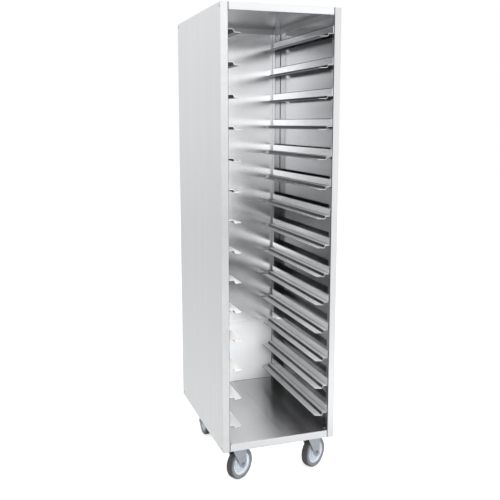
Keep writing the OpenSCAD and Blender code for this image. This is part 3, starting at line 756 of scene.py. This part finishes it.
def cornerRivetsMesh():
    c = cornerRivet
    lipR, dome, steps = c["pitR"] + c["pitLip"], c["high"], c["domeSteps"]
    profile = [(0, dome - c["pitDeep"]), (c["pitR"], dome - c["pitDeep"]), (lipR, dome)]
    bulge = (c["headR"] ** 2 + dome ** 2) / (2 * dome)
    for k in range(1, steps + 1):
        r = lipR + (c["headR"] - c["pitR"] - c["pitLip"]) * k / steps
        profile.append((r, max(math.sqrt(bulge ** 2 - r ** 2) - bulge + dome, 0)))
    profile += [(c["shankR"], 0), (c["shankR"], -c["grip"]), (c["tailR"], -c["grip"])]
    profile += [(c["tailR"] - c["tailEdge"], -c["grip"] - c["tail"]), (0, -c["grip"] - c["tail"])]
    low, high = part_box("corner_rivets")
    wallX = abs(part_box("left_side_panel")[0].x)
    headR = c["headR"] * mm
    bm = bmesh.new()
    for side in (-1, 1):
        for y in (low.y + headR, high.y - headR):
            for z in (low.z + headR, high.z - headR):
                one = bmesh.new()
                lathe(one, profile, c["sides"])
                turn = Matrix.Rotation(math.radians(90 * side), 4, "Y")
                one.transform(Matrix.Translation((side * wallX, y, z)) @ turn)
                part = bpy.data.meshes.new("rivet")
                one.to_mesh(part)
                one.free()
                bm.from_mesh(part)
                bpy.data.meshes.remove(part)
    return meshFrom(bm, "cornerRivets", sharpDeg=40)


meshes = {"tyre": tyreMesh(), "wheelCentre": wheelCentreMesh(), "fork": forkMesh(), "axle": axleMesh(),
          "plate": plateMesh()}
onSide = Matrix.Rotation(math.radians(90), 4, "X")
toAxle = Matrix.Translation((fork["axleX"] * mm, 0, fork["axleZ"] * mm)) @ onSide
pivots = []
for caster in casters:
    pivot = Vector(joints[caster + "_swivel"]["pos_m"])
    axis = Vector(joints[caster + "_spin"]["axis"])
    heading = math.atan2(-axis.x, axis.y)
    stand = Matrix.Translation((pivot.x, pivot.y, 0))
    turned = stand @ Matrix.Rotation(heading, 4, "Z")
    onAxle = turned @ toAxle
    pivots.append((pivot.x / mm, pivot.y / mm))
    title = "".join(word.capitalize() for word in caster.split("_"))
    wheelBody, forkBody = caster + "_wheel", caster + "_caster"
    addPiece("tyre" + title, meshes["tyre"], onAxle, wheelBody, "grey_rubber", greyRubber, caster + "_tyre")
    addPiece("wheelCentre" + title, meshes["wheelCentre"], onAxle, wheelBody, "white_plastic", whitePlastic,
             caster + "_rim")
    addPiece("fork" + title, meshes["fork"], turned, forkBody, "zinc_plated_steel", zinc, caster + "_fork")
    addPiece("axleBolt" + title, meshes["axle"], onAxle, forkBody, "zinc_plated_steel", zinc,
             caster + "_axle")
    addPiece("mountingPlate" + title, meshes["plate"], stand, "root", "zinc_plated_steel", zinc,
             caster + "_plate")
corners = [(dx * plate["boltX"] / 2, dy * plate["boltY"] / 2) for dx in (-1, 1) for dy in (-1, 1)]
boltPlaces = [(x + dx, y + dy) for x, y in pivots for dx, dy in corners]

# painted shadow lines: thin dark strips along the top edge of every rail's web, where the gap to the
# wall lies in shade, and painted shade in the butt joints beside the fascia and the floor lip and in the
# joint between floor and back
paintedShadowLines = {
    "webHigh": 2.0, "jointWide": 1.5, "proud": 0.12, "corner": 3.5, "sheet": 1.2, "frontHigh": 26,
    "colour": "#1c1c1e", "pale": "#2e2e31", "patchMm": 20, "roughness": 0.6,
}


def paintedShadowLinesMesh():
    e = paintedShadowLines
    corner, proud, joint = e["corner"] * mm, e["proud"] * mm, e["jointWide"] * mm
    bm = bmesh.new()

    def strip(low, high):
        # a thin block between two corners in metres
        middle = [(a + b) / 2 for a, b in zip(low, high)]
        sizes = [b - a for a, b in zip(low, high)]
        bmesh.ops.create_cube(bm, size=1, matrix=Matrix.Translation(middle) @ Matrix.Diagonal((*sizes, 1)))

    for name in nodes:
        if "rail_" in name:
            low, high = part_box(name)
            side = 1 if low[0] > 0 else -1
            outer = high[0] if side > 0 else low[0]
            face = outer - side * e["sheet"] * mm
            edges = sorted((face, face - side * proud))
            strip((edges[0], low[1] + corner, high[2] - e["webHigh"] * mm),
                  (edges[1], high[1] - corner, high[2]))
    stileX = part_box("right_rail_01")[1][0]
    for name in ("roof_panel", "floor_panel"):
        low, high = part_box(name)
        for side in (1, -1):
            across = sorted((side * stileX, side * (stileX - joint)))
            strip((across[0], low[1] - proud, high[2] - e["frontHigh"] * mm), (across[1], low[1], high[2]))
    back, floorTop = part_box("back_panel")[0][1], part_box("floor_panel")[1][2]
    strip((-stileX, back - proud, floorTop), (stileX, back, floorTop + joint))
    return meshFrom(bm, "paintedShadowLines", sharpDeg=30)


def makeShadowStripMaterial(name):
    # painted shadow: a grey-black in soft patches, for the shade in the gaps and joints
    e = paintedShadowLines
    material, tree = newMaterial(name)
    place = addNode(tree, "TexCoord")
    patches = addNode(tree, "TexNoise", {
        "Vector": (place, "Object"), "Scale": 1 / (e["patchMm"] * mm), "Detail": 2.0})
    colour = addNode(tree, "Mix", {
        "Factor": (patches, "Fac"), "A": hexColour(e["colour"]), "B": hexColour(e["pale"])}, data_type="RGBA")
    dark = addNode(tree, "BsdfPrincipled", {"Base Color": (colour, "Result"), "Roughness": e["roughness"]})
    addNode(tree, "OutputMaterial", {"Surface": (dark, 0)})
    return material


identity = Matrix.Identity(4)
# the painted shadow strips along the webs and in the joints
addPiece("paintedShadowLines", paintedShadowLinesMesh(), identity, "root", "stainless_steel", makeShadowStripMaterial("paintedShadowStrip"))
addPiece("casterBolts", casterBoltsMesh(boltPlaces), identity, "root", "zinc_plated_steel", zinc,
         "caster_bolts")
addPiece("kingPins", kingPinsMesh(pivots), identity, "root", "zinc_plated_steel", zinc, "king_pins")
addPiece("cornerRivets", cornerRivetsMesh(), identity, "root", "zinc_plated_steel", rivetSteel,
         "corner_rivets")
print("casters and fasteners built")

# the world: pure white to the camera and in reflections, a soft even fill on everything else
pureWhite = hexColour("#ffffff")
worldFill = 0.55
world = bpy.data.worlds.new("studioWorld")
bpy.context.scene.world = world
world.use_nodes = True
worldTree = world.node_tree
worldTree.nodes.clear()
rays = addNode(worldTree, "LightPath")
seen = addNode(worldTree, "Math", {
    0: (rays, "Is Camera Ray"), 1: (rays, "Is Glossy Ray")}, operation="MAXIMUM")
seenAll = addNode(worldTree, "Math", {0: (seen, 0), 1: (rays, "Is Transmission Ray")}, operation="MAXIMUM")
fill = addNode(worldTree, "Background", {"Color": pureWhite, "Strength": worldFill})
white = addNode(worldTree, "Background", {"Color": pureWhite, "Strength": 1.0})
mixed = addNode(worldTree, "MixShader", {0: (seenAll, 0), 1: (fill, 0), 2: (white, 0)})
addNode(worldTree, "OutputWorld", {"Surface": (mixed, 0)})

# lamps: a soft box on either side in front, one above on the left and the key high on the right,
# which fills the shadows without a hot spot in the steel. Two narrow beams go through the opening:
# the low one to the low left corner, where the washed haze catches it, and the side one to the worn
# tops of the right rails. A radiance of 1 is as bright as the white world
bodyMiddle = (0, 0, 0.9)
softboxes = {
    "left": {"place": (-1.5, -4.2, 1.9), "target": bodyMiddle, "wide": 2.0, "high": 1.8, "radiance": 0.5},
    "right": {"place": (2.3, -3.9, 1.9), "target": bodyMiddle, "wide": 3.6, "high": 3.5, "radiance": 0.3},
    "top": {"place": (-1.8, 0.8, 3.4), "target": bodyMiddle, "wide": 2.0, "high": 2.0, "radiance": 1.6},
    "key": {"place": (1.5, -3.8, 2.7), "target": bodyMiddle, "wide": 2.6, "high": 2.6, "radiance": 3.5,
            "inSteel": False},
    "low": {"place": (0.2, -2.5, 1.25), "target": (-0.13, 0.3, 0.38), "wide": 0.4, "high": 0.4,
            "radiance": 3.4, "inSteel": False, "spreadDeg": 26},
    "side": {"place": (-1.2, -2.6, 2.2), "target": (0.19, 0, 0.68), "wide": 0.5, "high": 0.5,
             "radiance": 1.9, "inSteel": False, "spreadDeg": 22},
}
for name, box in softboxes.items():
    light = bpy.data.lights.new(name + "Softbox", "AREA")
    light.shape = "RECTANGLE"
    light.size, light.size_y = box["wide"], box["high"]
    light.energy = box["radiance"] * math.pi * box["wide"] * box["high"]
    if "spreadDeg" in box:
        light.spread = math.radians(box["spreadDeg"])
    lamp = toScene(name + "Softbox", light)
    lamp.location = box["place"]
    away = Vector(box["target"]) - Vector(box["place"])
    lamp.rotation_euler = away.to_track_quat("-Z", "Y").to_euler()
    lamp.visible_glossy = box.get("inSteel", True)

# the floor: pale paint that the camera sees as white, with the object's shadow on it. In the steel
# it shows as white paper with a painted pool of light in front, and as a dark bare floor where the
# camera stands
studioFloor = {
    "colour": "#f4f4f4", "half": 12, "cameraLift": 0.62, "paperLift": 0.27,
    "poolLift": 1.1, "poolFarY": -0.9, "poolNearY": -0.6,
    "darkLift": 0.05, "darkFromY": -1.75, "darkRightX": 1.5, "darkLeftX": -1.2, "blend": 0.5,
}
far, blend = studioFloor["half"], studioFloor["blend"]
floorMesh = bpy.data.meshes.new("studioFloor")
floorMesh.from_pydata([(-far, -far, 0), (far, -far, 0), (far, far, 0), (-far, far, 0)], [], [(0, 1, 2, 3)])
floor = toScene("studioFloor", floorMesh)
floorMaterial, floorTree = newMaterial("palePaintedFloor")
floorRays = addNode(floorTree, "LightPath")
floorPlace = addNode(floorTree, "TexCoord")
floorParts = addNode(floorTree, "SeparateXYZ", {0: (floorPlace, "Object")})
onPaper = addNode(floorTree, "MapRange", {
    "Value": (floorParts, 1), "From Min": studioFloor["darkFromY"] - blend,
    "From Max": studioFloor["darkFromY"] + blend})
rightOf = addNode(floorTree, "MapRange", {
    "Value": (floorParts, 0), "From Min": studioFloor["darkRightX"] - blend,
    "From Max": studioFloor["darkRightX"] + blend})
leftOf = addNode(floorTree, "MapRange", {
    "Value": (floorParts, 0), "From Min": studioFloor["darkLeftX"] + blend,
    "From Max": studioFloor["darkLeftX"] - blend})
beside = addNode(floorTree, "Math", {0: (rightOf, 0), 1: (leftOf, 0)}, operation="MAXIMUM")
lit = addNode(floorTree, "Math", {0: (onPaper, 0), 1: (beside, 0)}, operation="MAXIMUM")
# painted pool of light: the paper glows brighter in front
poolLift = addNode(floorTree, "MapRange", {
    "Value": (floorParts, 1), "From Min": studioFloor["poolFarY"], "From Max": studioFloor["poolNearY"],
    "To Min": studioFloor["poolLift"], "To Max": studioFloor["paperLift"]})
matte = addNode(floorTree, "BsdfDiffuse", {"Color": hexColour(studioFloor["colour"])})
cameraLift = addNode(floorTree, "Emission", {"Color": pureWhite, "Strength": studioFloor["cameraLift"]})
paperLift = addNode(floorTree, "Emission", {"Color": pureWhite, "Strength": (poolLift, 0)})
darkFloor = addNode(floorTree, "Emission", {"Color": pureWhite, "Strength": studioFloor["darkLift"]})
forCamera = addNode(floorTree, "AddShader", {0: (matte, 0), 1: (cameraLift, 0)})
paper = addNode(floorTree, "AddShader", {0: (matte, 0), 1: (paperLift, 0)})
forSteel = addNode(floorTree, "MixShader", {0: (lit, 0), 1: (darkFloor, 0), 2: (paper, 0)})
offCamera = addNode(floorTree, "MixShader", {
    0: (floorRays, "Is Glossy Ray"), 1: (matte, 0), 2: (forSteel, 0)})
floorMix = addNode(floorTree, "MixShader", {
    0: (floorRays, "Is Camera Ray"), 1: (offCamera, 0), 2: (forCamera, 0)})
addNode(floorTree, "OutputMaterial", {"Surface": (floorMix, 0)})
floorMesh.materials.append(floorMaterial)

# a black card lies level in front of the opening, on the left: only the steel's reflections meet
# it, and it keeps the lamps' glare off the lower rails
blackCard = {
    "corners": [(-0.75, -0.6), (-0.2, -0.6), (-0.4, -2.6), (-1.4, -2.6)], "height": 0.75, "shade": 0.03,
}
cardMesh = bpy.data.meshes.new("blackCard")
cardMesh.from_pydata([(x, y, blackCard["height"]) for x, y in blackCard["corners"]], [], [(0, 1, 2, 3)])
card = toScene("blackCard", cardMesh)
cardMaterial, cardTree = newMaterial("matteBlackCard")
cardPaint = addNode(cardTree, "Emission", {"Color": pureWhite, "Strength": blackCard["shade"]})
addNode(cardTree, "OutputMaterial", {"Surface": (cardPaint, 0)})
cardMesh.materials.append(cardMaterial)
card.visible_camera = card.visible_diffuse = card.visible_shadow = card.visible_transmission = False

# the photograph's camera, turned to the right and a little down
camera = {
    "place": (-0.954, -2.759, 1.387), "turnDeg": 18.83, "downDeg": 9.01, "lens": 51.38, "shiftY": -0.028,
}
cameraData = bpy.data.cameras.new("photoCamera")
cameraData.lens = camera["lens"]
cameraData.shift_y = camera["shiftY"]
cameraObject = toScene("photoCamera", cameraData)
cameraObject.location = camera["place"]
cameraObject.rotation_euler = (math.radians(90 - camera["downDeg"]), 0, -math.radians(camera["turnDeg"]))
bpy.context.scene.camera = cameraObject
bpy.context.scene.view_settings.view_transform = "Standard"
print("studio and camera set")
